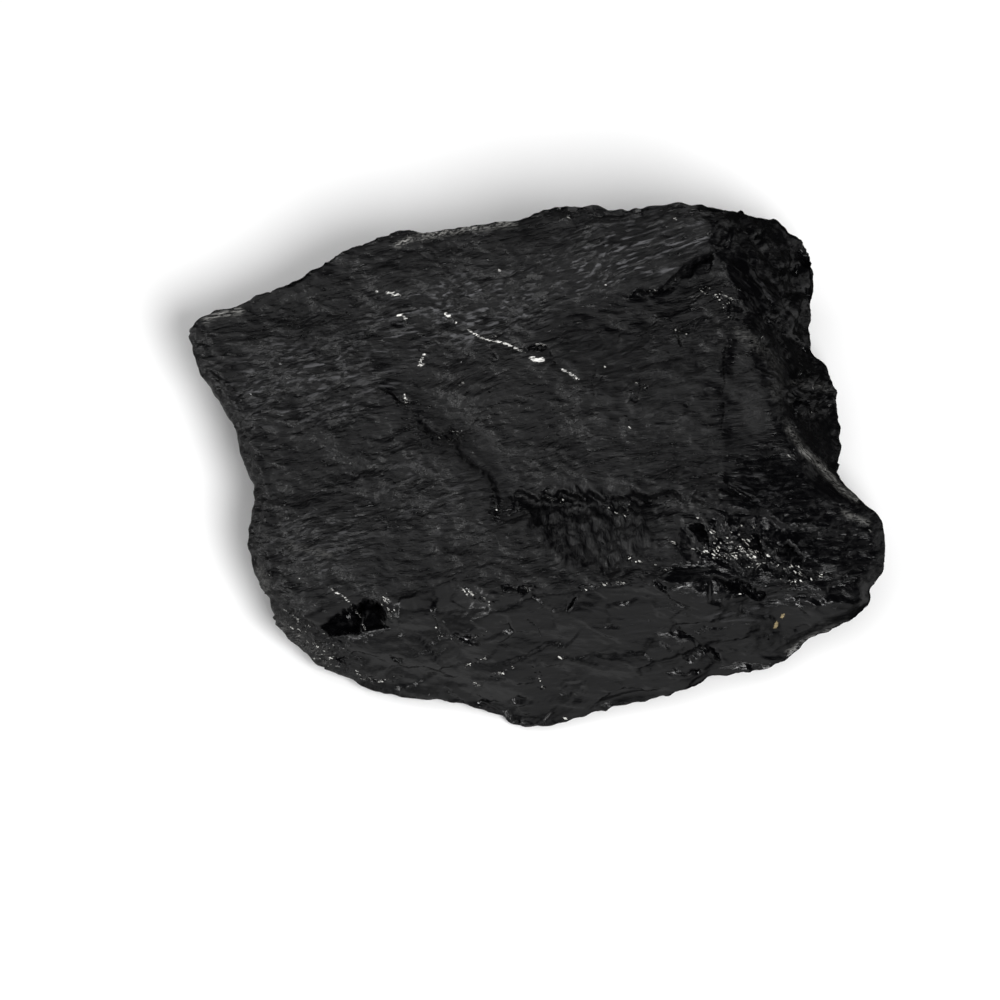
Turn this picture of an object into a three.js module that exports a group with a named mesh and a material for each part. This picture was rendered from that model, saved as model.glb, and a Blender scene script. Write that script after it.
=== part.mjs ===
// Raw black tourmaline (schorl): one broken chunk of massive, fibrous crystal lying on its underside.
// Millimetres, +Z up. The origin is on the table, under the middle of the stone.
//
// The stone is laid out on a drawing plane that leans back at right angles to a line of sight 60 degrees
// above the table. "across" runs along X, "up" climbs the plane, and "height" is the height above the table.
// Over that plane the broken upper side is one height at each spot. It ends at the rim, and from the rim
// the side wall drops, leaning in, to the flat foot that the stone rests on.
import * as THREE from "three";
import { ImprovedNoise } from "three/addons/math/ImprovedNoise.js";

const sightDegrees = 60;
const rings = 28; // rings of the upper side's net, from the middle of the stone to its rim
const wallRows = 7; // rows of the net from the rim down to the foot
const netMiddle = [1, -1]; // [across, up]

// The rim of the stone, [across, up, height], clockwise from its left corner.
const rim = [
  [-45.3, 17, 13], [-44.5, 18.7, 13.5], [-42, 19.8, 14], [-38.5, 20.6, 14.5], [-36, 22.2, 15],
  [-33, 23.2, 15.5], [-30.5, 24.5, 16], [-28.8, 26, 16.5], [-25.5, 27.8, 17], [-21.7, 29.4, 17.5],
  [-17.7, 30.7, 18], [-14.3, 30.3, 18.5], [-10, 31.1, 19.5], [-4.8, 31.5, 20.5], [-1.3, 32.1, 21],
  [1.9, 33.3, 21.5], [7.3, 33.9, 22.5], [11, 33, 23], [17, 33.8, 23.5], [20.5, 34.1, 23.5],
  [24.8, 33.2, 21], [28.4, 32.5, 17], [31.5, 31.8, 13.5], [33.8, 29.7, 11], [35.8, 28, 9.5],
  [36.1, 25.5, 9], [35.7, 21.5, 8.5], [35.3, 17.5, 8.5], [36, 14.2, 8.5], [38, 12.5, 7.5],
  [38.9, 9.4, 7], [39.6, 4, 7], [39.7, 1.5, 7.5], [38.8, -0.8, 10], [40.2, -3, 12],
  [42.9, -5.5, 12], [45, -7, 10.5], [45.4, -11, 9], [45, -13.5, 8], [44.5, -15, 7.5],
  [42.9, -15.8, 7.5], [43.4, -17.6, 6], [42, -19.3, 5.5], [38.1, -21.3, 5], [34.7, -23, 4.5],
  [32.9, -25.1, 3.5], [29.5, -26.6, 3.5], [23.3, -27.2, 4.5], [18.6, -29.5, 3.5], [14.6, -30.4, 3],
  [11.5, -31, 3], [5, -33, 2], [0, -33.9, 1.5], [-2.5, -34.1, 1.2], [-4, -32.7, 1.6],
  [-7.2, -31.7, 2], [-11.5, -30.6, 2.5], [-16.6, -30, 2.5], [-20.5, -29.5, 2.5], [-24, -27.9, 3],
  [-26, -26.8, 3.5], [-28.5, -26, 4], [-30.2, -24, 5], [-33.5, -21.4, 7], [-34.2, -18, 9],
  [-36.5, -14.5, 10], [-37.5, -9.5, 11], [-36.6, -5.3, 11.5], [-36.5, -2.5, 11.5], [-38, 0.2, 11.5],
  [-39.2, 5.5, 11.5], [-42, 10, 12], [-43.6, 12, 12], [-44.5, 14.8, 12.5],
];

// The broad faces of the upper side: the height at a spot, and how it climbs per mm across and per mm up.
const faces = [
  { name: "back plate", at: [22, 30], height: 25.6, across: 0.18, up: 0.06 },
  { name: "middle panel", at: [22, 27], height: 24.7, across: 0.05, up: 0.09 },
  { name: "right slope", at: [20, -6], height: 22.5, across: -0.42, up: 0.35 },
  { name: "front face", at: [-2, -16], height: 20, across: 0, up: 1.06 },
  { name: "front left face", at: [-20, -18.5], height: 16, across: 0.24, up: 1.3 },
  { name: "front right face", at: [30, -16], height: 15, across: -0.4, up: 1.2 },
];
const edgeRound = 0.45; // how softly the broad faces meet, mm

// The crest along the right side, [across, up, fall per mm of the wall to its right].
const crest = [
  [22.5, 36, 1.35], [24, 29, 1.35], [25.5, 25, 1.45], [27.5, 20, 1.7], [29.5, 15, 2.1], [31.3, 12, 2.2],
  [30.6, 8.5, 1.9], [33, 4, 2.3], [35.5, 0.8, 2.6], [38.5, -1.4, 2.8],
];

// Ledges: the surface drops on the left of each line and climbs back over the reach.
const ledges = [
  {
    name: "back plate's broken end",
    line: [[28, 31], [24, 28.5], [21, 27], [18, 24.2], [14, 22.4], [8, 21.5], [2, 21.5]],
    drop: 1.7,
    reach: 13,
  },
  {
    name: "left panel's broken edge",
    line: [[-24, 13], [-19, 9], [-17, 7], [-14, 4], [-8.5, 0], [-5.8, -2.5], [-5.2, -6], [-4, -11]],
    drop: 1,
    reach: 8,
  },
  {
    name: "fibre band under the crest",
    line: [[25.5, 20.5], [24.2, 14], [23.8, 9], [24, 4], [26, -1]],
    drop: 0.7,
    reach: 6,
  },
  {
    name: "splintered front corner",
    line: [[12, -4], [18, -5], [22, -5.5], [27, -6], [32, -8], [38, -9], [44, -9]],
    drop: -0.9,
    reach: 7,
  },
];
const ledgeWidth = 1.6; // mm over which a ledge drops
const ledgeEnd = 0.22; // share of a ledge's length over which it dies out at each end

// Hollows: middle, half-widths and depth; the edge says how much of the hollow its sloping side takes.
const hollows = [
  { name: "hackly hollow", at: [7, -9], wide: 9.5, tall: 6.5, turn: -8, depth: 2.4, edge: 0.45 },
  { name: "front left cavity", at: [-23.5, -20], wide: 5.8, tall: 3.2, turn: 15, depth: 2.2, edge: 0.9 },
];

const rimRise = 2.2; // how fast the upper side climbs from the rim, mm per mm
const footTuck = 1.5; // how far in from the rim the foot lies, mm
const wallLean = 0.4; // and how much more for each mm of the wall's height
const wallCurve = 1.25; // above 1, the wall starts steep at the rim and turns in towards the foot
const wallHollow = 1; // how far the middle of the wall is hollowed on average, mm
const topWaves = [{ size: 13, depth: 0.7 }, { size: 5.5, depth: 0.5 }];
const wallWaves = [{ size: 13, depth: 1.7 }, { size: 5, depth: 0.7 }];
const grainTurn = 12; // degrees by which the fibres climb to the right
const grainStretch = 2.2; // bumps are this much longer along the fibres

const radians = THREE.MathUtils.degToRad;
const { clamp, lerp, smoothstep } = THREE.MathUtils;
const sightSine = Math.sin(radians(sightDegrees));
const sightCosine = Math.cos(radians(sightDegrees));
const noise = new ImprovedNoise();

/** The nearest spot of a line of points to p: how far, on which side, how far along, and its own values. */
function nearestOnLine(p, line, closed) {
  let nearest = { distance: Infinity };
  const count = closed ? line.length : line.length - 1; // how many stretches the line has
  for (let i = 0; i < count; i++) {
    const a = line[i];
    const b = line[(i + 1) % line.length];
    const run = [b[0] - a[0], b[1] - a[1]];
    const share = clamp(((p[0] - a[0]) * run[0] + (p[1] - a[1]) * run[1]) / Math.hypot(...run) ** 2, 0, 1);
    const spot = a.map((value, k) => lerp(value, b[k], share));
    const offset = [p[0] - spot[0], p[1] - spot[1]];
    const distance = Math.hypot(...offset);
    if (distance < nearest.distance - 1e-9) {
      const left = run[0] * offset[1] - run[1] * offset[0] > 0;
      nearest = { distance, spot, left, along: (i + share) / count };
    }
  }
  return nearest;
}

/** A spot's offset from a middle, along and over a direction turned by some degrees. */
function turned(p, middle, degrees) {
  const [x, y] = [p[0] - middle[0], p[1] - middle[1]];
  const [c, s] = [Math.cos(radians(degrees)), Math.sin(radians(degrees))];
  return [x * c + y * s, y * c - x * s];
}

/** Lumps of several sizes, longer along the fibres of the stone. */
function lumps(p, waves, layer) {
  const [along, over] = turned(p, [0, 0], grainTurn);
  let sum = 0;
  for (const { size, depth } of waves) {
    sum += depth * noise.noise(along / (size * grainStretch) + 31, over / size + 17, layer + size);
  }
  return sum;
}

/** The lowest of the broad faces at p, with the edges between them a little rounded. */
function broadHeight(p) {
  const heights = faces.map(
    (face) => face.height + face.across * (p[0] - face.at[0]) + face.up * (p[1] - face.at[1]),
  );
  const lowest = Math.min(...heights);
  const sum = heights.reduce((total, height) => total + Math.exp((lowest - height) / edgeRound), 0);
  return lowest - edgeRound * Math.log(sum);
}

/** How far the ledges and hollows lower the upper side at p. */
function carved(p) {
  let depth = 0;
  for (const { line, drop, reach } of ledges) {
    const near = nearestOnLine(p, line, false);
    if (near.left) {
      const fallen = smoothstep(near.distance, 0, ledgeWidth) * (1 - smoothstep(near.distance, ledgeWidth, reach));
      const ends = smoothstep(near.along, 0, ledgeEnd) * (1 - smoothstep(near.along, 1 - ledgeEnd, 1));
      depth += drop * fallen * ends;
    }
  }
  for (const { at, wide, tall, turn, depth: deepest, edge } of hollows) {
    const [along, over] = turned(p, at, turn);
    depth += deepest * (1 - smoothstep(Math.hypot(along / wide, over / tall), 1 - edge, 1));
  }
  return depth;
}

function upperHeight(p) {
  const border = nearestOnLine(p, rim, true);
  const wall = nearestOnLine(p, crest, false);
  let height = broadHeight(p);
  if (wall.left) {
    height = Math.min(height, broadHeight(wall.spot) - wall.spot[2] * wall.distance);
  }
  height += lumps(p, topWaves, 3) * smoothstep(border.distance, 0, 3) - carved(p);
  return Math.min(height, border.spot[2] + rimRise * border.distance);
}

/** The spot of the rim at a share of the way round it. */
function rimSpot(share) {
  const lengths = rim.map((a, i) => {
    const b = rim[(i + 1) % rim.length];
    return Math.hypot(b[0] - a[0], b[1] - a[1]);
  });
  let left = share * lengths.reduce((sum, length) => sum + length, 0);
  let i = 0;
  while (i < rim.length - 1 && left > lengths[i]) {
    left -= lengths[i];
    i += 1;
  }
  const next = rim[(i + 1) % rim.length];
  return rim[i].map((value, k) => lerp(value, next[k], Math.min(left / lengths[i], 1)));
}

/** A spot of the drawing plane, at its height, as x, y, z. */
function place(p, height) {
  return new THREE.Vector3(p[0], (p[1] - height * sightCosine) / sightSine, height);
}

/** The upper side: ring k of the net holds 6k points, and the last ring is the rim. */
function upperSide(points, index) {
  const first = [0];
  points.push(place(netMiddle, upperHeight(netMiddle)));
  for (let ring = 1; ring <= rings; ring++) {
    first.push(points.length);
    for (let j = 0; j < 6 * ring; j++) {
      const edge = rimSpot(j / (6 * ring));
      const p = [0, 1].map((k) => lerp(netMiddle[k], edge[k], ring / rings));
      points.push(place(p, ring === rings ? edge[2] : upperHeight(p)));
    }
  }
  for (let ring = 1; ring <= rings; ring++) {
    const outer = (j) => first[ring] + (j % (6 * ring));
    const inner = (j) => (ring === 1 ? 0 : first[ring - 1] + (j % (6 * (ring - 1))));
    for (let side = 0; side < 6; side++) {
      for (let j = 0; j < ring; j++) {
        const o = side * ring + j;
        const n = side * (ring - 1) + j;
        index.push(outer(o), inner(n), outer(o + 1));
        if (j < ring - 1) index.push(inner(n), inner(n + 1), outer(o + 1));
      }
    }
  }
  return first[rings];
}

/** The side wall, from the rim's points down to the foot, and the flat foot that closes the stone. */
function sideWall(points, index, rimStart) {
  const count = 6 * rings;
  const middle = points[0];
  let above = rimStart;
  for (let row = 1; row <= wallRows; row++) {
    const down = row / wallRows;
    const start = points.length;
    for (let j = 0; j < count; j++) {
      const edge = points[rimStart + j];
      const inward = new THREE.Vector3(middle.x - edge.x, middle.y - edge.y, 0).normalize();
      const tuck = footTuck + wallLean * edge.z;
      const height = edge.z * (1 - down);
      const rough = lumps([edge.x + edge.y, height * 2], wallWaves, 8) * Math.min(1, edge.z / 8);
      const move = tuck * down ** wallCurve + (rough + wallHollow) * Math.sin(Math.PI * Math.min(down, 0.8));
      const point = edge.clone().addScaledVector(inward, move);
      point.z = height;
      points.push(point);
    }
    for (let j = 0; j < count; j++) {
      const next = (j + 1) % count;
      index.push(above + j, above + next, start + j, above + next, start + next, start + j);
    }
    above = start;
  }
  const foot = points.slice(above).map((point) => new THREE.Vector2(point.x, point.y));
  for (const [a, b, c] of THREE.ShapeUtils.triangulateShape(foot, [])) {
    index.push(above + a, above + c, above + b);
  }
}

function stoneGeometry() {
  const points = [];
  const index = [];
  const rimStart = upperSide(points, index);
  sideWall(points, index, rimStart);
  const geometry = new THREE.BufferGeometry().setFromPoints(points).setIndex(index);
  geometry.computeBoundingBox();
  const middle = geometry.boundingBox.getCenter(new THREE.Vector3());
  geometry.translate(-middle.x, -middle.y, 0);
  geometry.computeVertexNormals();
  return geometry;
}

const schorl = new THREE.MeshStandardMaterial({ color: "#1c1c1e", roughness: 0.35, metalness: 0, flatShading: true });
const stone = new THREE.Mesh(stoneGeometry(), schorl);
stone.name = "tourmaline_chunk";

const part = new THREE.Group();
part.add(stone);

export default part;
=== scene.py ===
# Raw black tourmaline (schorl), one broken chunk, lying on a pale studio table.
import math
import bmesh
import bpy
import numpy as np
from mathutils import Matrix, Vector, noise


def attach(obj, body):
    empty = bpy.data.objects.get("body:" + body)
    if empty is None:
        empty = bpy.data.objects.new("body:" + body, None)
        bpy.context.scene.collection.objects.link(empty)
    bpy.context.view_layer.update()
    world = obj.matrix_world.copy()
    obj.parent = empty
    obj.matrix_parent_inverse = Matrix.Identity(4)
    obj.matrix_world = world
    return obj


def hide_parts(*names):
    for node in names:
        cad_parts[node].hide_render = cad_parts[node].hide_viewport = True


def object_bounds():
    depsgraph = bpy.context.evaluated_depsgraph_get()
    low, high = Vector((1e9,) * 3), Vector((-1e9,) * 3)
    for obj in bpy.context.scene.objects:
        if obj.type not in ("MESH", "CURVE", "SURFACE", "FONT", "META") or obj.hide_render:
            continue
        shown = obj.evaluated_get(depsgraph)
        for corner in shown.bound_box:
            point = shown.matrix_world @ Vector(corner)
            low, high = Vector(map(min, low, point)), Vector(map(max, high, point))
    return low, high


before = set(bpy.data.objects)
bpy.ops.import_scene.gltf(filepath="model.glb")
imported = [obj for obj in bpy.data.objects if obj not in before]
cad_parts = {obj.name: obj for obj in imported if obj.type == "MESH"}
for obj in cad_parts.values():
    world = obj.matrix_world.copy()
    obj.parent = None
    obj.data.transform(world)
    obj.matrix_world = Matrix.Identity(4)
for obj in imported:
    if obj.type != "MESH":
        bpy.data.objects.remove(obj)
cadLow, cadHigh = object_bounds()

mm = 0.001

# Places on the stone are given in mm on a drawing plane that leans back: across it and up it.
drawing = {
    "sightDegrees": 60,  # the plane is square to a line of sight this far above the table
    "leftCorner": -45.3,  # the across value of the stone's left corner
    "frontTip": 40.04,  # how far the front tip lies before the plane's own zero, on the table
}
sightSine = math.sin(math.radians(drawing["sightDegrees"]))
sightCosine = math.cos(math.radians(drawing["sightDegrees"]))
zeroX = cadLow.x / mm - drawing["leftCorner"]
zeroY = cadLow.y / mm + drawing["frontTip"]
toEye = np.array([0, -sightCosine, sightSine])

camera = {
    "lens": 1200,  # long, so that near and far parts keep one scale
    "sensor": 36,
    "viewWidth": 130,  # mm of the drawing plane across the picture
    "lookAt": (-4.68, -4.68),  # the place on the drawing plane at the picture's middle
    "lookHeight": 11,
    "clip": (0.01, 20),  # metres
}


def fromDrawing(across, up, height):
    # A place on the drawing plane, at its height over the table, in metres.
    return Vector((across + zeroX, (up - height * sightCosine) / sightSine + zeroY, height)) * mm


def linear(hexColor):
    # sRGB hex to the linear values that nodes take.
    values = [int(hexColor[i:i + 2], 16) / 255 for i in (1, 3, 5)]
    return [v / 12.92 if v <= 0.04045 else ((v + 0.055) / 1.055) ** 2.4 for v in values] + [1]


def makeCamera():
    data = bpy.data.cameras.new("studioCamera")
    data.lens = camera["lens"]
    data.sensor_width = camera["sensor"]
    cameraObject = bpy.data.objects.new("studioCamera", data)
    bpy.context.scene.collection.objects.link(cameraObject)
    target = fromDrawing(*camera["lookAt"], camera["lookHeight"])
    back = Vector(toEye)
    cameraObject.location = target + back * camera["viewWidth"] * mm * camera["lens"] / camera["sensor"]
    cameraObject.rotation_mode = "QUATERNION"
    cameraObject.rotation_quaternion = (-back).to_track_quat("-Z", "Y")
    data.clip_start, data.clip_end = camera["clip"]
    bpy.context.scene.camera = cameraObject


footFade = 1  # mm above the table where the roughness starts to fade
farOff = 2.0  # mm, the most that a distance to a stroke comes to
patternLean = (0.45, 0.6)  # how a pattern leans out of the drawing plane, along and over its turn
seedOver = 0.7  # how far a seed moves a pattern over its turn, as a share of how far it moves it along
flakeRise = 0.3  # how much a flake stands higher or lower than the next, as a share of its tipping


def ease(values, low, high):
    # 0 up to the low value and 1 from the high one on, with a soft rise between them.
    share = np.clip((values - low) / (high - low), 0, 1)
    return share * share * (3 - 2 * share)


def cosSin(degrees):
    return math.cos(math.radians(degrees)), math.sin(math.radians(degrees))


class Surface:
    # The stone's vertices: where each one lies, in mm, and which way it faces.
    def __init__(self, mesh):
        self.mesh = mesh
        self.drift = [0, 0]
        self.read()

    def read(self):
        count = len(self.mesh.vertices)
        spots = np.empty(count * 3)
        normals = np.empty(count * 3)
        self.mesh.vertices.foreach_get("co", spots)
        self.mesh.vertex_normals.foreach_get("vector", normals)
        self.spots = spots.reshape(-1, 3) / mm
        self.normals = normals.reshape(-1, 3)
        x, y, z = self.spots[:, 0] - zeroX, self.spots[:, 1] - zeroY, self.spots[:, 2]
        self.across, self.height = x, z
        self.up = y * sightSine + z * sightCosine
        self.deep = z * sightSine - y * sightCosine
        self.facing = self.normals @ toEye

    def move(self, distances, directions):
        # Moves each vertex, less and less near the foot, and never out of the solid's box.
        fade = ease(self.height, 0, footFade)
        spots = self.spots + (distances * fade)[:, None] * directions
        spots = np.clip(spots, np.array(cadLow) / mm, np.array(cadHigh) / mm)
        self.mesh.vertices.foreach_set("co", (spots * mm).ravel())
        self.mesh.update()
        self.read()

    def toLine(self, line):
        # For each vertex: how far the line is, positive on its left, and the share of the way along it.
        nearest = np.full(len(self.across), np.inf)
        signed = np.zeros(len(nearest))
        share = np.zeros(len(nearest))
        for i, (start, end) in enumerate(zip(line, line[1:])):
            runX, runY = end[0] - start[0], end[1] - start[1]
            x, y = self.across - start[0], self.up - start[1]
            part = np.clip((x * runX + y * runY) / (runX ** 2 + runY ** 2), 0, 1)
            distance = np.hypot(x - part * runX, y - part * runY)
            closer = distance < nearest
            side = np.where(runX * y - runY * x > 0, 1, -1)
            nearest = np.where(closer, distance, nearest)
            signed = np.where(closer, side * distance, signed)
            share = np.where(closer, (i + part) / (len(line) - 1), share)
        return signed, share

    def patch(self, at, halves, turn, fade):
        # 1 in the middle of an uneven oval patch, 0 outside it.
        c, s = cosSin(turn)
        x, y = self.across + self.drift[0] - at[0], self.up + self.drift[1] - at[1]
        reach = np.hypot((x * c + y * s) / halves[0], (y * c - x * s) / halves[1])
        return 1 - ease(reach, 1 - fade, 1)

    def patches(self, items):
        return np.max([self.patch(*item) for item in items], axis=0)

    def inside(self, corners):
        # How far inside a polygon each vertex lies. The corners run anticlockwise, and the sides at one that
        # points inwards cut off more.
        depth = np.full(len(self.across), np.inf)
        for start, end in zip(corners, corners[1:] + corners[:1]):
            runX, runY = end[0] - start[0], end[1] - start[1]
            x, y = self.across - start[0], self.up - start[1]
            depth = np.minimum(depth, (runX * y - runY * x) / math.hypot(runX, runY))
        return depth

    def strokes(self, items):
        # How far each vertex is from the nearest of several strokes, less the stroke's half-width.
        nearest = np.full(len(self.across), farOff)
        for line, half in items:
            nearest = np.minimum(nearest, np.abs(self.toLine(line)[0]) - half)
        return nearest

    def laid(self, turn, size, stretch, seed):
        # The vertices in units of a pattern that is stretched along its turn. The third value leans, so that
        # no face lies level in the pattern.
        c, s = cosSin(turn)
        x, y = self.across + self.drift[0], self.up + self.drift[1]
        along = (x * c + y * s) / (size * stretch) + seed
        over = (y * c - x * s) / size + seed * seedOver
        deep = self.deep / size + patternLean[1] * over + patternLean[0] * along
        return np.stack([along, over, deep], axis=1)

    def driftApart(self, reach, size, seeds):
        # Uneven shifts of the places at which patches and patterns are read.
        self.drift = [reach * waves(self.laid(0, size, 1, seed)) for seed in seeds]


def waves(points):
    return np.array([noise.noise(point) for point in points.tolist()])


def scoops(points, tilt, unevenness):
    # Shell-shaped hollows that meet in sharp ridges, one about each spot of a cell pattern.
    values = []
    for point in points.tolist():
        distances, spots = noise.voronoi(point)
        best = math.inf
        for distance, spot in zip(distances, spots):
            lean = noise.cell_vector(spot)
            offset = Vector(point) - spot
            slope = (lean.x - 0.5) * offset.x + (lean.y - 0.5) * offset.y + (lean.z - 0.5) * offset.z
            best = min(best, distance ** 2 + tilt * slope + unevenness * lean.z)
        values.append(best)
    return np.array(values)


def flakes(points):
    # Flat chips, one about each spot of a cell pattern, each tipped its own way.
    values = []
    for point in points.tolist():
        spot = noise.voronoi(point)[1][0]
        lean = noise.cell_vector(spot)
        offset = Vector(point) - spot
        tipped = (lean.x - 0.5) * offset.x + (lean.y - 0.5) * offset.y
        values.append(tipped + flakeRise * (lean.z - 0.5))
    return np.array(values)


def shells(points):
    # Wide, shallow shell-shaped hollows, as glass breaks, about a middle of zero.
    return scoops(points, tilt=0.8, unevenness=0.6) - 0.45


def splinterShells(points):
    # Deeper ones among splinters.
    return scoops(points, tilt=1.2, unevenness=0.8) - 0.5


# Where zones begin and end. The first four are cosines between a face and the line of sight, the rest mm.
zoneEdges = {
    "seen": (0.05, 0.3),
    "hidden": (-0.05, 0.1),
    "rim": (0.1, 0.5),
    "turned": (0.6, 0.9),
    "front": (-0.6, 1.2),  # below the front edge
    "wall": (0, 2),  # past the crest
    "wallAcross": (22, 24),
    "wallUp": (-5, -1),
    "choppedRim": (1.2, 4),  # to either side of its line
    "bends": {"size": 1.8, "stretch": 1.5, "seed": 71, "height": 1.4},
}

# How much a zone counts, or calms the fibres' relief.
zoneShares = {
    "hiddenAsWall": 0.35,
    "frontCalm": 0.8,
    "wallCalm": 0.5,
    "rimCalm": 0.6,
    "frontShells": 0.5,
    "wallShells": 0.7,
}

# How the edges of broken faces stray, in mm, and where ledges are interrupted.
straying = {
    "bends": {"size": 2.2, "seed": 3},
    "chips": {"turn": 30, "size": 0.9, "seed": 5, "share": 0.7},
    "gaps": {"size": 3, "seed": 9, "from": -0.15, "to": 0.1},
    "faces": 0.3,  # how much of it the edges of broken faces take
    "pits": 0.25,
    "hollowLeft": 0.6,  # the hollow's left wall
    "hollowTop": 1.1,  # and the step at its top
}

# Ledges as the solid has them, each dropping softly to its left. Here part of each gets a jagged, crisp edge.
ledges = {
    "softWidth": 1.6,
    "crispWidth": 0.35,
    "jagged": 0.8,  # mm that the edge wanders
    "endShare": 0.22,  # of a ledge's length, over which it fades out at each end
    "widenTo": 22,  # mm to the left, where a widened ledge has come up again
    "lines": [
        {"line": [(28, 31), (24, 28.5), (21, 27), (18, 24.2), (14, 22.4), (8, 21.5), (2, 21.5)],
         "drop": 1.7, "deepen": 0.2, "reach": 13, "crisp": (0.08, 0.2, 0.66, 0.76), "broken": 0.3,
         "widen": 0},
        {"line": [(-24, 13), (-19, 9), (-17, 7), (-14, 4), (-8.5, 0), (-5.8, -2.5), (-5.2, -6), (-4, -11)],
         "drop": 1.0, "deepen": 0.2, "reach": 8, "crisp": (0.1, 0.25, 0.8, 0.95), "broken": 1,
         "widen": 0.8},
        {"line": [(12, -4), (18, -5), (22, -5.5), (27, -6), (32, -8), (38, -9), (44, -9)],
         "drop": -0.9, "deepen": 0, "reach": 7, "crisp": (0.1, 0.3, 0.8, 0.9), "broken": 0.6,
         "widen": 0},
    ],
}

# Faces broken deeper than their surroundings: corners in mm, how deep each starts, which way it deepens
# (degrees from across), by how much per mm, and how wide its edges are.
brokenFaces = [
    ([(-28.6, -21), (-26.5, -22.4), (-22.6, -22.2), (-22.2, -18), (-24, -18.8)], 0, 62, 1.2, 0.3),
    ([(-22.8, -22.1), (-19.3, -21.2), (-19.8, -18), (-22.4, -17.4)], 0.1, 62, 1.1, 0.3),
    ([(22.6, -14.4), (25, -16.4), (29.2, -17.8), (30, -17), (26.4, -15)], 0.5, 70, 1.4, 0.3),
    ([(19.6, -8), (21.6, -10.6), (22.6, -10), (21.4, -7.6)], 0.3, 40, 1.0, 0.3),
    ([(26.6, -9.5), (28.4, -12.2), (29.8, -12), (28.9, -9)], 0.3, 35, 0.9, 0.3),
    ([(30.5, -11), (33.5, -13), (35, -12.4), (32.6, -10.2)], 0.2, 50, 0.7, 0.3),
    ([(23.6, -3.4), (28, -5.2), (28.6, -4.4), (25, -2.6)], 0.2, 60, 0.7, 0.4),
    ([(0, 19), (-1, 12), (10, 8.5), (24, 10), (25, 22), (14, 21.5)], 0, 90, 0.035, 4),
    ([(-17.5, 9), (-14, 4), (-8.5, -1), (-5, -5), (-2, -4), (-3, 1), (-7, 6),
      (-14, 10.5)], 0, 55, 0.075, 3),
    ([(25.2, 21.6), (24.8, 19.6), (29.4, 16.4), (34.8, 13.6), (35.6, 15.2),
      (30.6, 18.8)], 0.1, 60, 0.5, 0.4),
    ([(27, 26.8), (27.8, 25.3), (33.9, 24.4), (34.1, 25.8)], 0.1, 70, 0.6, 0.4),
    ([(31.4, 9.6), (31.6, 6.2), (34, 5.6), (34.6, 9.2)], 0.1, 20, 0.5, 0.4),
    ([(32.6, 29.4), (32.2, 21.6), (36, 21.4), (37.4, 28)], 0, 215, 0.4, 0.8),
    ([(19.4, 26.2), (18.4, 24.4), (22.6, 24.6), (23.6, 28.3)], 0.2, 110, 0.35, 0.4),
    ([(-4.6, -15.6), (-4.2, -16.7), (-3, -16.6), (-3.1, -15.7)], 0.4, 60, 0.8, 0.3),
    ([(-2.5, -15.7), (-2.2, -16.9), (-1, -16.6), (-1.1, -15.6)], 0.4, 60, 0.8, 0.3),
    ([(-14, 4.6), (-12.6, 2.6), (-9.6, 2.4), (-10, 4.4)], 0.3, 40, 0.5, 0.6),
    ([(-18.9, -24.4), (-18.7, -25.3), (-17.6, -26), (-17.1, -25.3)], 0.3, 60, 0.9, 0.25),
    ([(-11, -21.8), (-9.4, -23.3), (-7.1, -23.6), (-8.5, -22.3)], 0.2, 70, 1.0, 0.25),
    ([(3.6, -19.8), (4.4, -19), (5.6, -16.8), (4.4, -17.6)], 0.3, 30, 0.9, 0.25),
    ([(-25.8, -25.2), (-25.4, -26), (-24.7, -25.8), (-24.9, -24.9)], 0.4, 60, 0.8, 0.25),
    ([(20.2, 34.5), (20.8, 32.6), (23, 31.2), (25, 32), (24.6, 34.4)], 0, 25, 0.3, 0.5),
    ([(21.8, 30.6), (22.2, 28.9), (24.8, 28.2), (25.6, 30)], 0, 10, 0.28, 0.5),
    ([(22.5, 14.8), (22.5, 3), (29.4, 2.5), (30.6, 8), (30.4, 13.5)], 0, 0, 0.06, 2.5),
]

# The hollow, which the solid has as an even dish. Here its left wall is steep, its floor climbs away from a
# jagged step at the top, and its right side comes up slowly. Places and lengths are in mm.
hollow = {
    "dish": ((7, -9), (9.5, 6.5), -8, 0.45),
    "dishDepth": 2.4,
    "leftWall": [(-6.4, -2), (-1.6, -7.4), (6.8, -15.6)],
    "wallWidth": 3.2,
    "top": -3.6,
    "topWidth": 1.2,
    "bottom": -15.6,
    "bottomWidth": 2.4,
    "rightFrom": 13,
    "rightTo": 27,
    "depth": 0.7,  # at the bottom
    "deepen": 0.13,  # per mm towards the top
}

# Small pits that deepen one way (degrees from across), by a slope: the middle, half-widths and turn of each.
pits = {
    "toward": 55,
    "slope": 0.9,
    "longest": 1.5,  # mm over which they deepen
    "fade": 0.9,
    "edge": (0.2, 0.45),
    "places": [
        ((16.3, -15.5), (1.4, 0.6), -40), ((20.6, -26.4), (1.2, 0.5), 0), ((23, -24.8), (1.8, 0.5), -45),
        ((0.4, 15), (1.2, 0.6), 0), ((-17.5, 18.6), (1.1, 0.5), -10), ((13.2, 8.6), (1, 0.5), 40),
    ],
}

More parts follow.
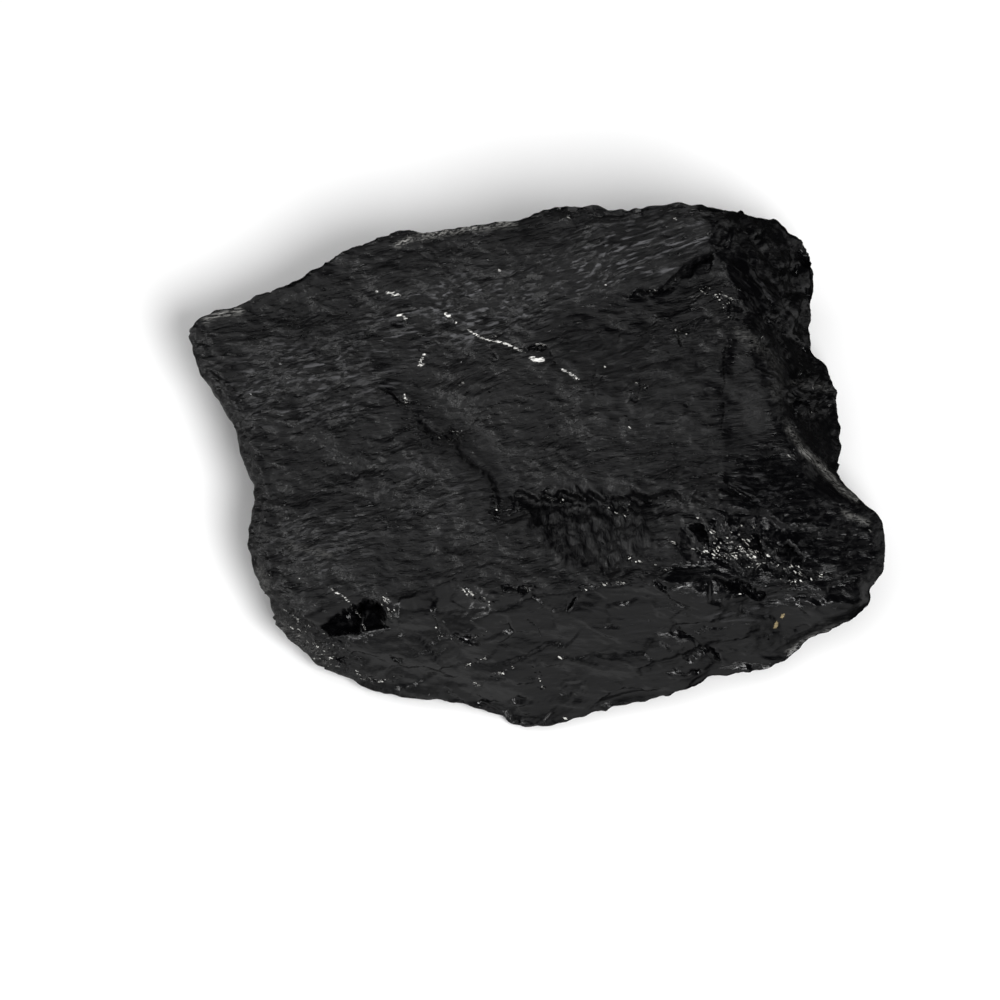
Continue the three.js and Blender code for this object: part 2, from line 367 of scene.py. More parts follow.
# Cracks, as lines and half-widths in mm.
cracks = {
    "depth": 0.1,
    "edge": (-0.05, 0.25),
    "lines": [
        ([(18, -20.5), (19.2, -21.9), (20.6, -22.6), (22.5, -24.8), (24, -25.8)], 0.1),
        ([(16.5, -16.2), (17.6, -17.6), (18.5, -18), (20, -18.5)], 0.09),
        ([(-19, -24.8), (-18.2, -25.7), (-17, -26)], 0.12),
        ([(-17, -23.5), (-15.6, -24.3), (-14, -24.2), (-12.6, -24.5), (-11.5, -23.8)], 0.1),
        ([(-14, -27.2), (-12.6, -26.9), (-12, -26.3), (-10.9, -26.3), (-10, -25.9)], 0.12),
        ([(-13.3, -19.6), (-12.8, -20.9), (-12.4, -22), (-10.8, -22.6), (-9.8, -23.6), (-7, -23.3)], 0.13),
        ([(24.6, 15.4), (24.3, 12.6), (24.5, 10.8), (24.2, 9.6), (24.4, 7), (23.9, 4.2)], 0.09),
        ([(-20, 9.8), (-19, 9.2), (-18, 8.4)], 0.12),
        ([(-16.5, 5), (-15.4, 4.7), (-14, 3.8)], 0.14),
        ([(-10.5, 1.5), (-9, 0.3), (-7.4, -0.6), (-5.8, -2.2), (-5.4, -5.5)], 0.12),
        ([(14.3, 22.5), (15.4, 22.1), (16.5, 22.4), (18, 22.9)], 0.15),
        ([(18.6, 17.8), (18.4, 16.6), (18.8, 15.2)], 0.18),
        ([(10.5, 18.3), (10.9, 16.9), (10.7, 15.8)], 0.1),
        ([(8, 12.6), (7.2, 10.8), (7.6, 8.6)], 0.07),
        ([(-1.2, -20.2), (0.2, -21), (0.6, -22.4)], 0.1),
        ([(3.4, -24.6), (4.6, -25.2), (6.6, -25)], 0.08),
        ([(-24, -24.6), (-22.6, -25.4), (-22.8, -26.6)], 0.1),
        ([(33.8, -17.4), (34.2, -18.8), (35.4, -19.6)], 0.1),
        ([(1.6, 14.8), (2, 14.2), (2.4, 13)], 0.12),
    ],
}


def seenShare(surface):
    # 1 where the surface faces the line of sight, 0 where it faces away.
    return ease(surface.facing, *zoneEdges["seen"])


def hollowed(surface, stray):
    # How far the broken hollow lies below the solid's even dish.
    drift = surface.drift
    surface.drift = [0, 0]  # the solid's dish is an even oval
    dish = surface.patch(*hollow["dish"])
    surface.drift = drift
    fromLeft = surface.toLine(hollow["leftWall"])[0] + straying["hollowLeft"] * stray
    fromTop = hollow["top"] - surface.up + straying["hollowTop"] * stray
    fromBottom = surface.up - hollow["bottom"]
    share = ease(fromLeft, 0, hollow["wallWidth"]) * ease(fromTop, 0, hollow["topWidth"])
    share *= ease(fromBottom, 0, hollow["bottomWidth"])
    share *= 1 - ease(surface.across, hollow["rightFrom"], hollow["rightTo"])
    depth = hollow["depth"] + hollow["deepen"] * fromBottom
    return share * np.maximum(depth, 0) - dish * hollow["dishDepth"]


def ledged(surface, ledge, stray, whole):
    # How far one ledge lowers what is on its left.
    signed, share = surface.toLine(ledge["line"])
    reach, softWidth, crispWidth = ledge["reach"], ledges["softWidth"], ledges["crispWidth"]
    ends = ease(share, 0, ledges["endShare"]) * (1 - ease(share, 1 - ledges["endShare"], 1))
    soft = ease(signed, 0, softWidth) * (1 - ease(signed, softWidth, reach))
    jagged = signed + ledges["jagged"] * stray
    crisp = ease(jagged, 0, crispWidth) * (1 - ease(jagged, crispWidth, reach))
    starts, full, wanes, stops = ledge["crisp"]
    here = ends * ease(share, starts, full) * (1 - ease(share, wanes, stops))
    here = here * (1 - ledge["broken"] * (1 - whole))
    lower = here * (crisp * (ledge["drop"] + ledge["deepen"]) - soft * ledge["drop"])
    spread = ease(signed, softWidth, reach) * (1 - ease(signed, reach, ledges["widenTo"]))
    return lower + ends * spread * ledge["widen"]


def faced(surface, corners, start, toward, slope, edge, stray):
    # How deep one broken face is.
    c, s = cosSin(toward)
    run = surface.across * c + surface.up * s - min(x * c + y * s for x, y in corners)
    share = ease(surface.inside(corners) + straying["faces"] * stray, 0, edge)
    return share * (start + slope * np.maximum(run, 0))


def pitted(surface, stray):
    # How deep the small pits are.
    c, s = cosSin(pits["toward"])
    lower = np.zeros(len(surface.across))
    for at, halves, turn in pits["places"]:
        run = (surface.across - at[0]) * c + (surface.up - at[1]) * s + max(halves)
        edge = ease(surface.patch(at, halves, turn, pits["fade"]) + straying["pits"] * stray, *pits["edge"])
        lower += edge * pits["slope"] * np.clip(run, 0, pits["longest"])
    return lower


def breakUp(surface):
    # The sharp forms first, moved along the line of sight, so they stay at their places on the drawing plane.
    bends, chips, gaps = [straying[name] for name in ("bends", "chips", "gaps")]
    stray = waves(surface.laid(0, bends["size"], 1, bends["seed"]))
    stray += chips["share"] * flakes(surface.laid(chips["turn"], chips["size"], 1, chips["seed"]))
    whole = ease(waves(surface.laid(0, gaps["size"], 1, gaps["seed"])), gaps["from"], gaps["to"])
    lower = hollowed(surface, stray) + pitted(surface, stray)
    for ledge in ledges["lines"]:
        lower += ledged(surface, ledge, stray, whole)
    for face in brokenFaces:
        lower += faced(surface, *face, stray)
    lower += cracks["depth"] * (1 - ease(surface.strokes(cracks["lines"]), *cracks["edge"]))
    surface.move(-lower * seenShare(surface), toEye)


# The stone's fibres lie in four directions: degrees from across, and patches where each direction rules.
# A patch is its middle, half-widths, turn in degrees, and the share of it that fades out.
fibres = {
    "level": {"turn": 4},
    "rising": {"turn": 17, "patches": [((13, 27), (15, 6), 8, 0.5), ((-8, 11), (9, 4), 12, 0.6)]},
    "falling": {"turn": -42, "patches": [((29.5, 21), (10, 4), -52, 0.6), ((37, -1), (7, 2.5), -40, 0.5),
                                         ((32, 14), (8, 2.4), -75, 0.7)]},
    "upright": {"turn": 88, "patches": [((7, -8), (9.5, 6.5), -8, 0.4)]},
}

# Where the surface broke in which way: patches, and lines that part one side of the stone from another.
breakage = {
    "splintered": [((27, -10.5), (11, 5), -10, 0.5), ((-29, -23.4), (9, 4), -38, 0.5)],
    "stepped": [((7, -8), (12, 8), -8, 0.9)],
    "choppedRim": [(-46, 18), (-43, 12), (-40, 6), (-37.6, 1), (-36.6, -4), (-37.4, -10), (-35, -16),
                   (-33.5, -20)],
    "brokenRim": ((-30, -24.2), (10, 4.4), -38, 0.4),
    "rough": [((14, 12), (19, 12), -12, 0.5), ((8, -6), (14, 9), 0, 0.6), ((-11.5, 3.5), (4, 2.5), -30, 0.6)],
    "streaked": ((36, 8), (5, 7), 0, 0.6),
    "frontEdge": [(-38, -20.5), (-34, -20), (-26, -17.6), (-10, -16), (4, -15.8), (15, -15), (20, -14),
                  (25, -15.3), (29, -17), (35, -16), (40, -15.5), (46, -15.2)],
    "crest": [(22.5, 36), (24, 29), (25.5, 25), (27.5, 20), (29.5, 15), (31.3, 12), (30.6, 8.5), (33, 4),
              (35.5, 0.8), (38.5, -1.4)],
}

# The broken surface: the zone, the pattern, its turn in degrees, width in mm, stretch, seed and height in mm.
# A pattern without a turn follows the fibres.
relief = [
    ("fibrous", waves, None, 3.2, 2.2, 11, 0.36),
    ("fibrous", waves, None, 1.3, 2.8, 23, 0.18),
    ("fibrous", waves, None, 0.6, 3.5, 41, 0.1),
    ("fibrous", flakes, None, 1.1, 3, 47, 0.24),
    ("rough", waves, 8, 1.1, 2.4, 7, 0.3),
    ("splintered", flakes, -52, 1.6, 2.4, 13, 1.4),
    ("splintered", flakes, -35, 0.8, 1.8, 17, 0.7),
    ("splintered", splinterShells, -50, 3, 2, 19, 0.9),
    ("upright", flakes, 88, 0.7, 3.2, 29, 0.5),
    ("choppedRim", flakes, 4, 0.9, 4, 81, 1.3),
    ("choppedRim", waves, 4, 0.6, 5, 83, 0.3),
    ("glassy", shells, 10, 5.5, 1.5, 31, 1),
    ("chippedWall", flakes, -46, 2.4, 4.5, 37, 1.5),
    ("wall", flakes, -40, 0.8, 5, 39, 0.35),
    ("front", flakes, 15, 3.4, 1.6, 43, 0.8),
    ("front", waves, 25, 6, 1.5, 91, 0.7),
    ("front", flakes, -10, 1.2, 2, 45, 0.25),
]

# Steps in the fibres, and across the hollow: a step's height in mm, the share of it that slopes, and how much
# of the pattern turns into steps.
terraces = {
    "plates": {"size": 2.4, "stretch": 2, "seed": 53, "step": 0.3, "slope": 0.3, "share": 0.2},
    "treads": {"rise": 0.45, "turn": 80, "size": 2.4, "stretch": 2, "seed": 33, "height": 1.6,
               "step": 0.8, "slope": 0.2, "share": 0.2},
}

leastShare = 0.01  # of a fibre direction, below which it isn't worked out

# Chips along the rim, and where the surface turns away.
rimChips = {"size": 1.4, "seed": 59, "height": 0.3, "raised": 0.36}
turnedChips = {"turn": 8, "size": 1.5, "stretch": 1.8, "seed": 63, "height": 0.7}

# Long ridges along the fibres: a patch, the ridges' turn, width and stretch, and their height in mm.
ridgeSeed = 87
ridges = [
    (((29.5, 22.5), (9, 5), -50, 0.6), -47, 1.1, 8, 1.2),
    (((35.6, 9), (4.5, 5), 0, 0.6), -6, 0.9, 10, 2.0),
    (((8, -8.5), (12, 7), -8, 0.8), 80, 0.9, 3, 0.5),
    (((30.6, 13), (2.5, 6), 15, 0.7), -66, 0.6, 7, 0.4),
    (((40, -9), (6, 5), 0, 0.6), 4, 0.5, 8, 0.3),
]


def grainShares(surface):
    # How much of each vertex belongs to each fibre direction.
    left = np.ones(len(surface.across))
    shares = {}
    for name in ("upright", "falling", "rising"):
        shares[name] = surface.patches(fibres[name]["patches"]) * left
        left = left - shares[name]
    shares["level"] = left
    return shares


def patterned(surface, weight, pattern, turn, size, stretch, seed):
    # A pattern times its weight, worked out only where it counts.
    here = weight != 0
    values = np.zeros(len(weight))
    values[here] = weight[here] * pattern(surface.laid(turn, size, stretch, seed)[here])
    return values


def alongGrain(surface, shares, pattern, size, stretch, seed):
    # A pattern stretched along the fibres, whichever way they run.
    total = np.zeros(len(surface.across))
    for name, share in shares.items():
        weight = share * (share > leastShare)
        total += patterned(surface, weight, pattern, fibres[name]["turn"], size, stretch, seed)
    return total


def zones(surface):
    # What faces the line of sight, the front face, the walls and the rim, each as a share from 0 to 1.
    seen = seenShare(surface)
    bends = zoneEdges["bends"]
    stray = bends["height"] * waves(surface.laid(0, bends["size"], bends["stretch"], bends["seed"]))
    front = ease(stray - surface.toLine(breakage["frontEdge"])[0], *zoneEdges["front"]) * seen
    front = front * (1 - surface.patch(*breakage["brokenRim"]))
    right = ease(surface.toLine(breakage["crest"])[0] + stray, *zoneEdges["wall"])
    right = right * ease(surface.across, *zoneEdges["wallAcross"]) * ease(surface.up, *zoneEdges["wallUp"])
    hidden = ease(-surface.facing, *zoneEdges["hidden"])
    wall = np.maximum(right, zoneShares["hiddenAsWall"] * hidden)
    rim = 1 - ease(np.abs(surface.facing), *zoneEdges["rim"])
    return seen, front, wall, rim


def terraced(values, step, slope):
    # What turns heights into steps, each with a short slope at its end.
    level = np.floor(values / step)
    return (level + ease(values / step - level, 1 - slope, 1)) * step - values


def roughen(surface):
    # Then the broken surface: chopped fibres, shell-shaped chips and splinters, moved along the normals.
    seen, front, wall, rim = zones(surface)
    shares = grainShares(surface)
    fibrous = (1 - zoneShares["frontCalm"] * front) * (1 - zoneShares["wallCalm"] * wall)
    splintered = surface.patches(breakage["splintered"]) * seen * (1 - front)
    toRim = np.abs(surface.toLine(breakage["choppedRim"])[0])
    weights = {
        "fibrous": fibrous,
        "rough": surface.patches(breakage["rough"]) * seen,
        "splintered": splintered,
        "upright": shares["upright"],
        "choppedRim": (1 - ease(toRim, *zoneEdges["choppedRim"])) * seen,
        "glassy": zoneShares["frontShells"] * front + zoneShares["wallShells"] * wall,
        "chippedWall": wall * (1 - surface.patch(*breakage["streaked"])),
        "wall": wall,
        "front": front,
    }
    height = np.zeros(len(seen))
    for zone, pattern, turn, size, stretch, seed, depth in relief:
        if turn is None:
            height += depth * alongGrain(surface, shares, pattern, size, stretch, seed) * weights[zone]
        else:
            height += depth * patterned(surface, weights[zone], pattern, turn, size, stretch, seed)
    for patch, turn, size, stretch, depth in ridges:
        height += depth * patterned(surface, surface.patch(*patch), waves, turn, size, stretch, ridgeSeed)
    plates = terraces["plates"]
    levels = alongGrain(surface, shares, waves, plates["size"], plates["stretch"], plates["seed"])
    steps = terraced(levels, plates["step"], plates["slope"])
    height += plates["share"] * steps * fibrous * (1 - splintered)
    treads = terraces["treads"]
    levels = waves(surface.laid(treads["turn"], treads["size"], treads["stretch"], treads["seed"]))
    levels = treads["rise"] * surface.across + treads["height"] * levels
    steps = terraced(levels, treads["step"], treads["slope"])
    height += treads["share"] * steps * surface.patches(breakage["stepped"]) * seen * (1 - front)
    height = height * (1 - zoneShares["rimCalm"] * rim)
    chips = waves(surface.laid(0, rimChips["size"], 1, rimChips["seed"]))
    height += (rimChips["height"] * chips + rimChips["raised"]) * rim
    turned = (1 - ease(np.abs(surface.facing), *zoneEdges["turned"])) * (1 - rim) * fibrous
    chips = turnedChips
    height += chips["height"] * patterned(
        surface, turned, flakes, chips["turn"], chips["size"], chips["stretch"], chips["seed"])
    surface.move(height, surface.normals)


# Chains of small glinting steps: lines and half-widths in mm.
glintLines = [
    ([(-9.3, -26.2), (-7.5, -25.6), (-6, -24.9)], 0.25),
    ([(-8, -28.6), (-5.5, -27.6), (-3, -26.4)], 0.35),
    ([(0.2, -26.8), (0.8, -29.2)], 0.25),
    ([(-9.2, -16.4), (-7, -17.6), (-5, -18.4)], 0.4),
    ([(-1.4, -16.2), (1, -17.6)], 0.35),
    ([(-13.4, -20.8), (-12.6, -22.2), (-9, -22.9), (-6.4, -21.9)], 0.25),
    ([(-23.6, -27.1), (-21, -28.4), (-17.4, -27.7)], 0.35),
    ([(-19.6, -17.6), (-18.6, -18.6), (-18.9, -20)], 0.5),
    ([(-16.8, -24.6), (-15.4, -24.2)], 0.2),
    ([(-35, -14.4), (-34.5, -15.6)], 0.4),
    ([(6, -16.3), (9, -15.6), (12, -15.6)], 0.25),
    ([(14, 22.5), (16.4, 22.6), (18.2, 24)], 0.1),
    ([(21, -7), (22.4, -8.6), (24, -10)], 0.4),
    ([(26, -8), (26.6, -9.2), (27.2, -9.8)], 0.5),
    ([(28, -7.8), (29.4, -9.2)], 0.3),
    ([(26.9, -5.2), (27.1, -5.9)], 0.25),
    ([(22, -11.6), (24.5, -12), (27, -11.4), (29, -12.6)], 0.6),
    ([(30.4, -12.6), (31.6, -13.6), (34.2, -13.8), (33.4, -16.2)], 0.8),
    ([(36, -14.2), (38.4, -15)], 0.3),
    ([(17, -9.8), (19.5, -10.6), (21, -11.2)], 0.3),
    ([(11, -11.9), (14, -12.8), (17, -13.8)], 0.25),
    ([(24, -15.8), (26, -17.2), (27.4, -16.9)], 0.3),
    ([(21.6, 22.9), (23.6, 22), (25.4, 21.2)], 0.5),
    ([(24.3, 20.8), (25.2, 19.2)], 0.3),
    ([(17.6, 17.6), (19.6, 17)], 0.25),
    ([(13.2, 10.6), (14.4, 9.8)], 0.35),
    ([(11.6, 6.2), (12, 4.6)], 0.25),
    ([(-17.4, 8.9), (-16.4, 7.6)], 0.3),
    ([(-12.6, 3.4), (-10.6, 3)], 0.35),
]

# Patches with many glints: the middle, half-widths, turn and fade of each.
glintPatches = [
    ((27, -11.5), (9, 4), -12, 0.6),
    ((33.5, -15), (3.5, 1.8), -10, 0.6),
    ((-29, -23.4), (9.5, 3.8), -38, 0.6),
    ((-11.3, 3.6), (3, 1.6), -20, 0.6),
    ((10.5, -6), (3.5, 2.2), 0, 0.8),
    ((2.5, -5), (3, 1), -5, 0.8),
    ((23.5, 22.2), (3.2, 1.3), -15, 0.8),
    ((-19, -18.8), (2.4, 1.3), 15, 0.6),
    ((13.5, 9.6), (2, 1.4), 0, 0.9),
    ((-5.3, -6), (1, 0.8), 0, 0.6),
]

# Where the fibres are frayed and look lighter, part of it a painted sheen standing for the light the faces
# catch: the middle, half-widths, turn, fade and strength.
frayedSheenPatches = [
    ((-30, 11), (16, 8), 6, 0.7, 1.5),
    ((-10, 20), (17, 7), 14, 0.7, 2.0),
    ((10, 27), (16, 6), 14, 0.6, 2.2),
    ((-28, -10), (11, 6), 4, 0.8, 1.0),
    ((-14, -4), (12, 9), 8, 0.8, 0.5),
    ((14, 4), (13, 6), 10, 0.8, 0.3),
    ((12, 15), (14, 7), 10, 0.8, 0.15),
    ((18, 29), (7, 3.5), 15, 0.8, 3),
    ((29.5, -3), (6, 3), -10, 0.8, 0.5),
    ((30.5, 22), (7, 3), -50, 0.8, 0.6),
    ((31, 12.5), (2.5, 6), 10, 0.8, 0.7),
    ((36, 10), (4, 3), -10, 0.8, 0.3),
    ((27, -19), (10, 3), 4, 0.8, 0.5),
    ((-10, 5), (12, 4.5), -42, 0.7, 0),
    ((7, -8.5), (10.5, 7), -8, 0.4, 0),
    ((27, 8), (3.4, 7), 0, 0.7, 0.1),
]

# Where the break is dull or glassy: the middle, half-widths, turn, fade, and a factor on the roughness.
dulling = [
    ((8, -8.5), (13, 8), -8, 0.8, 1.6),
    ((-8, 1), (11, 4.5), -42, 0.7, 1.9),
    ((13, 12), (18, 9), -12, 0.7, 1.4),
    ((19, 25.5), (7, 3), 40, 0.6, 1.5),
    ((28, 7), (5, 7.5), -10, 0.7, 1.6),
    ((27, -10), (12, 6.5), -6, 0.5, 0.5),
    ((-29.5, -24), (8, 3), -38, 0.5, 0.7),
]

# White quartz in thin seams and specks, as lines and half-widths in mm.
quartz = [
    ([(-11.8, 19.5), (-11.2, 19.2)], 0.2),
    ([(-10.7, 18.7), (-10.2, 18.2)], 0.1),
    ([(-8.9, 17.5), (-7.9, 16.9), (-7, 16.4), (-6, 16.1)], 0.1),
    ([(-5.6, 16), (-4.4, 15.7), (-3.4, 15.5)], 0.14),
    ([(-3.2, 15.4), (-2.2, 14.8), (-1.5, 14.6)], 0.11),
    ([(-0.6, 13.7), (0.1, 13.5), (0.8, 13.5)], 0.3),
    ([(0, 15.6), (0.6, 15.7), (1.1, 15.5)], 0.1),
    ([(3.3, 12.4), (4, 12)], 0.1),
    ([(4.3, 11.8), (4.9, 11.4), (5.4, 11)], 0.17),
    ([(-19.4, 22.3), (-18.6, 22.2), (-17.8, 22)], 0.2),
    ([(-20.8, 22.5), (-20.4, 22.5)], 0.12),
    ([(-18, 19.4), (-17.4, 19.4)], 0.17),
    ([(-17.2, 19.1), (-16.9, 18.9)], 0.17),
    ([(-14.4, 14.5), (-14.8, 13.8), (-15.1, 13)], 0.15),
    ([(-15.4, 12.9), (-14.4, 12.9)], 0.1),
    ([(-17.1, 9), (-17, 8.3)], 0.1),
    ([(18, 32), (18.3, 31.8)], 0.14),
    ([(24.1, 10.9), (24.3, 10.7)], 0.12),
    ([(-5.3, -5.8), (-5, -6)], 0.1),
    ([(-26.6, -16.2), (-25, -17.2), (-24, -18.2), (-22.9, -19.8), (-22.2, -21.4)], 0.07),
]

# Iron-stained specks, as lines and half-widths in mm.
stains = [([(31, -21.2), (31.3, -20.6)], 0.2), ([(31.9, -19.9), (32.1, -19.6)], 0.18)]

# Dusty, splintered fibres, with painted highlights where they and the rims catch the light: lines,
# half-widths in mm and strength.
dust = [
    ([(32.8, 4.6), (34.2, 2.6), (35, 1.6)], 0.7, 0.3),
    ([(34.6, 1.8), (36.5, 0.2), (38.2, -1.8)], 0.7, 0.5),
    ([(37.6, -0.8), (39.4, -3), (41.6, -4.6)], 0.6, 0.7),
    ([(26.6, 17), (29.5, 14.8), (31.4, 12.6), (31.2, 9)], 1.3, 0.1),
    ([(40.4, -21), (36, -22.8), (33, -24.6)], 1.0, 0.3),
    ([(-15, 29.8), (-12, 30.5), (-8, 31.1), (-3, 31.6)], 1.1, 0.55),
    ([(-18, 28.6), (-16.4, 29.4)], 0.6, 0.6),
    ([(-43, 18.8), (-41.4, 19.4), (-38.6, 20)], 0.8, 0.35),
    ([(-32, -10.6), (-29, -11.4), (-27, -11.6)], 1.0, 0.1),
    ([(40, -6.4), (43, -7.6)], 0.7, 0.2),
    ([(-34.5, -20), (-31, -22.6), (-27.5, -25.4)], 1.5, 0.12),
    ([(-36, -13.6), (-35, -16.4)], 0.8, 0.3),
    ([(33, 10.6), (36, 10.4), (38.6, 9.6)], 0.7, 0.08),
]

# How the marks count, and the bands of the walls that are glassy.
marks = {
    "glintPatches": 0.58,
    "chainFade": 0.3,  # mm
    "glassyWall": {"share": 0.8, "turn": -10, "size": 3, "stretch": 2, "seed": 73, "from": -0.2, "to": 0.1},
    "frayedSheenAll": 0.05,
    "calming": 0.1,  # a strength of fraying up to this replaces what lies under it
}


def storeNumbers(mesh, name, values):
    attribute = mesh.attributes.new(name, "FLOAT", "POINT")
    attribute.data.foreach_set("value", values.astype(np.float32))


def storeShares(mesh, name, columns):
    attribute = mesh.attributes.new(name, "FLOAT_COLOR", "POINT")
    values = np.stack([*columns, np.ones(len(columns[0]))], axis=1)
    attribute.data.foreach_set("color", values.astype(np.float32).ravel())


def markSurface(surface):
    # What the material reads at each vertex.
    mesh = surface.mesh
    seen, front, wall, _ = zones(surface)
    shares = grainShares(surface)
    storeShares(mesh, "grain", [shares["rising"], shares["falling"], shares["upright"]])

    chains = 1 - ease(surface.strokes(glintLines), -marks["chainFade"], marks["chainFade"])
    patches = marks["glintPatches"] * surface.patches(glintPatches) * (1 - front)
    bands = marks["glassyWall"]
    banded = waves(surface.laid(bands["turn"], bands["size"], bands["stretch"], bands["seed"]))
    glassyWall = bands["share"] * wall * ease(banded, bands["from"], bands["to"])
    # Dust and painted highlights along fibres and rims that catch the light.
    dustyHighlit = np.zeros(len(seen))
    for line, half, strength in dust:
        distance = np.abs(surface.toLine(line)[0]) / half
        dustyHighlit = np.maximum(dustyHighlit, strength * (1 - ease(distance, 0, 1)))
    finish = [np.maximum(front, glassyWall), np.maximum(patches, chains) * seen, dustyHighlit * seen]
    storeShares(mesh, "finish", finish)

    # Frayed fibres, drawn lighter: partly a painted sheen where the faces catch the light.
    frayedSheen = np.full(len(seen), marks["frayedSheenAll"])
    for at, halves, turn, fade, strength in frayedSheenPatches:
        share = surface.patch(at, halves, turn, fade)
        under = frayedSheen if strength > marks["calming"] else 0
        frayedSheen = frayedSheen * (1 - share) + np.maximum(strength, under) * share
    storeNumbers(mesh, "frayedSheen", frayedSheen)
    dullness = np.ones(len(seen))
    for at, halves, turn, fade, factor in dulling:
        dullness *= factor ** surface.patch(at, halves, turn, fade)
    storeNumbers(mesh, "dullness", dullness)
    for name, strokes in (("crack", cracks["lines"]), ("quartz", quartz), ("stain", stains)):
        storeNumbers(mesh, name, np.where(seen > 0.5, surface.strokes(strokes), farOff))


stone = {
    "cuts": 4,  # of each edge of the solid
    "smoothings": 6,
    "touching": 1e-6,  # metres
    "drift": 0.9,  # mm that patches and patterns stray
    "driftSize": 5,  # mm
    "driftSeeds": (61, 67),
    "sharpDegrees": 38,  # edges between faces that turn more than this stay sharp
}


def stoneMesh():
    # The solid's surface, cut finer and smoothed, on a flat foot.
    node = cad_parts["tourmaline_chunk"]
    shape = bmesh.new()
    shape.from_mesh(node.data)
    bmesh.ops.remove_doubles(shape, verts=shape.verts, dist=stone["touching"])
    foot = [f for f in shape.faces if all(v.co.z < stone["touching"] for v in f.verts)]
    bmesh.ops.delete(shape, geom=foot, context="FACES_ONLY")
    bmesh.ops.subdivide_edges(shape, edges=shape.edges[:], cuts=stone["cuts"], use_grid_fill=True)
    inner = [v for v in shape.verts if v.co.z > stone["touching"]]
    for _ in range(stone["smoothings"]):
        bmesh.ops.smooth_vert(
            shape, verts=inner, factor=0.5, use_axis_x=True, use_axis_y=True, use_axis_z=True)
    border = [e for e in shape.edges if e.is_boundary]
    bmesh.ops.holes_fill(shape, edges=border, sides=0)
    bmesh.ops.triangulate(shape, faces=[f for f in shape.faces if len(f.verts) > 3])
    bmesh.ops.recalc_face_normals(shape, faces=shape.faces)
    mesh = bpy.data.meshes.new("tourmaline")
    shape.to_mesh(mesh)
    shape.free()
    return mesh


def addNode(tree, kind, inputs=(), **settings):
    # Adds a node and gives its outputs. Its inputs go by order or by name: values, or other nodes' outputs.
    node = tree.nodes.new("ShaderNode" + kind)
    for name, value in settings.items():
        setattr(node, name, value)
    for name, value in inputs.items() if isinstance(inputs, dict) else enumerate(inputs):
        if isinstance(value, bpy.types.NodeSocket):
            tree.links.new(value, node.inputs[name])
        else:
            node.inputs[name].default_value = value
    return node.outputs


schorl = {
    "dark": "#020203",
    "light": "#0a0a0b",
    # The frayed fibres' colour is also a painted sheen, lighter where the faces catch the light.
    "frayedSheen": "#4c4c4e",  # the ends of split fibres
    "crack": "#020202",
    # Whitish dust, also a painted highlight on rims that catch the light.
    "dust": "#b9b8b4",
    # Painted glints: white specks that stand for light caught by tiny faces.
    "mica": "#d8d7d2",
    "quartz": "#e9e8e4",
    "stain": "#8f8060",
    "ior": 1.63,
    "drift": 1.8,  # mm that the patterns stray
    "driftSize": 10,  # mm
    "roll": (0.3, 0.2),  # how the patterns lean out of the drawing plane, in radians
    "fibreWidth": 0.5,  # mm across a bundle; a single fibre is too fine to show
    "fibreStretch": 6,
    "fibreDepth": 0.17,  # mm
    "fibreShows": (0.53, 0.66),
    "chipShades": (0.1, 0.9, 0.3, 1),
    "splinterWidth": 0.22,  # mm
    "splinterStretch": 5,
    "splinterDepth": 0.08,  # mm
    "flakeWidth": 0.42,  # mm
    "flakeStretch": 7,
    "flakeLean": 0.26,
    "tuftSize": 1.2,  # mm across a tuft of frayed fibres
    "tuftStretch": 5.5,
    "tuftTurn": 9,
    "tuftShows": (0.36, 0.62),
    "dustHighlightShows": (0.44, 0.62),
    # Strokes: how soft their edges are, how ragged, and the pattern's value that leaves an edge in its place.
    "crackEdge": (0.06, 0.5, 0.5),
    "quartzEdge": (0.05, 0.8, 0.44),
    "stainEdge": (0.05, 0.5, 0.5),
    "quartzClouds": (0.4, 0.5, 0.35, 1),
    "glintSize": 0.19,  # mm across a small cleavage face
    "glintStretch": 3.2,
    "glintTurn": -35,
    "glintLean": 1.1,
    # How many of the cells glint, and how many are painted as bright specks of glint: from where to where the
    # glinting goes, and the share of the cells at either end.
    "glintShare": (0, 1, 0.002, 0.8),
    "glintSpeckShare": (0.2, 1, 0.0003, 0.4),
    "glintSpeckBright": (0.3, 1, 0.02, 1),
    "glintTufts": (0.35, 0.6, 0.2, 1),  # glints gather where frayed tufts and splinters do
    "glintSplinters": (0.42, 0.58, 0.3, 1),
    "catchingChips": 0.3,  # the share of the flakes whose frayed ends catch the light
    "catchingLean": (-0.36, -0.14, 0),  # how frayed ends turn to the light
    "crackLean": (0.35, 0.45, 0),  # and cracks away from it
    "glassyCalm": 0.25,  # the share of the relief that a glassy face keeps
}

# Roughness of each finish. Fibres lie between their last two values.
schorlGloss = {
    "fibres": (0.3, 0.7, 0.2, 0.4),
    "frayedSheen": 0.1,  # added
    "glassy": 0.2,
    "glint": 0.1,
    "crack": 0.4,
    "quartz": 0.5,
}


